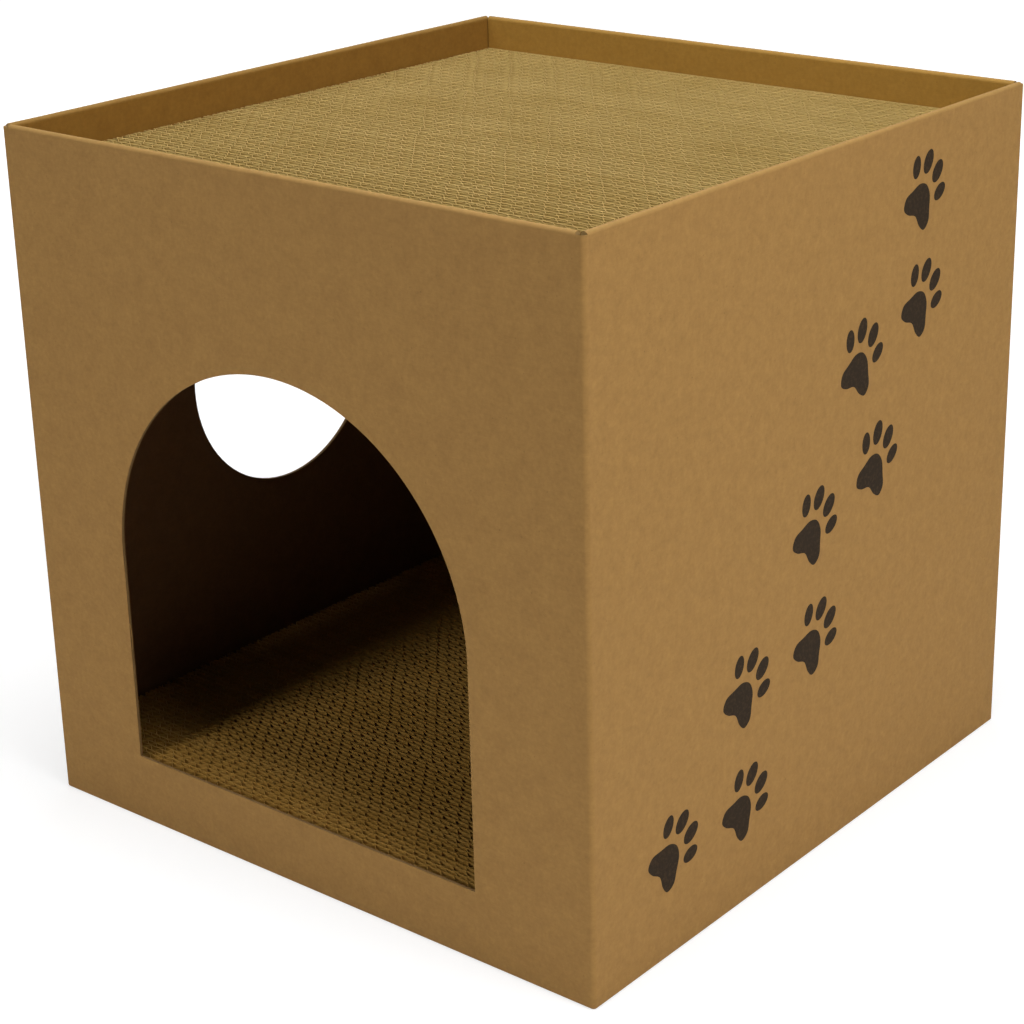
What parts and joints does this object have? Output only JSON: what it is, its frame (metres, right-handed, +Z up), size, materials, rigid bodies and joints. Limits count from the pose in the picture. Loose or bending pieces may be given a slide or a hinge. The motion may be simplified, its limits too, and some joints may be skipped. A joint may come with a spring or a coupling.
{
  "type": "cardboard cat house",
  "caption": "Square corrugated-board pet house with an arched door, a round side window, a floor pad and a sunken scratching pad on its roof.",
  "frame": {"origin": "on the ground, at the middle of the box's footprint", "axes": "+Z up, the arched door in the wall that faces -Y, the round window in the wall that faces -X"},
  "size_m": [0.35, 0.356, 0.352],
  "materials": {
    "kraft_outside": "smooth brown kraft liner with a faint flute ripple, outer faces",
    "kraft_inside": "unprinted brown kraft liner, inner faces and folded rim",
    "pad_card": "cut edges of corrugated strips glued side by side, flutes on end"
  },
  "bodies": {
    "box": {"front_wall": "kraft_outside", "right_wall": "kraft_outside", "back_wall": "kraft_outside", "left_wall": "kraft_outside", "front_rim_flap": "kraft_inside", "right_rim_flap": "kraft_inside", "back_rim_flap": "kraft_inside", "left_rim_flap": "kraft_inside", "front_shelf": "kraft_inside", "right_shelf": "kraft_inside", "back_shelf": "kraft_inside", "left_shelf": "kraft_inside", "glue_flap": "kraft_inside", "front_bottom_flap": "kraft_inside", "back_bottom_flap": "kraft_inside"},
    "tray": {"tray_board": "kraft_inside"},
    "scratcher": {"top_pad": "pad_card"},
    "floor_mat": {"floor_pad": "pad_card"},
    "flap_left": {"left_bottom_flap": "kraft_outside"},
    "flap_right": {"right_bottom_flap": "kraft_outside"}
  },
  "joints": [
    {"name": "tray_lift", "type": "slide", "parent": "box", "child": "tray", "axis": [0, 0, 1], "range_m": [0, 0.09]},
    {"name": "top_pad_lift", "type": "slide", "parent": "tray", "child": "scratcher", "axis": [0, 0, 1], "range_m": [0, 0.09]},
    {"name": "floor_pad_lift", "type": "slide", "parent": "box", "child": "floor_mat", "axis": [0, 0, 1], "range_m": [0, 0.2]},
    {"name": "left_flap_fold", "type": "hinge", "parent": "box", "child": "flap_left", "pos_m": [-0.1729, 0, 0], "axis": [0, 1, 0], "range_deg": [0, 90]},
    {"name": "right_flap_fold", "type": "hinge", "parent": "box", "child": "flap_right", "pos_m": [0.1729, 0, 0], "axis": [0, -1, 0], "range_deg": [0, 90]}
  ]
}
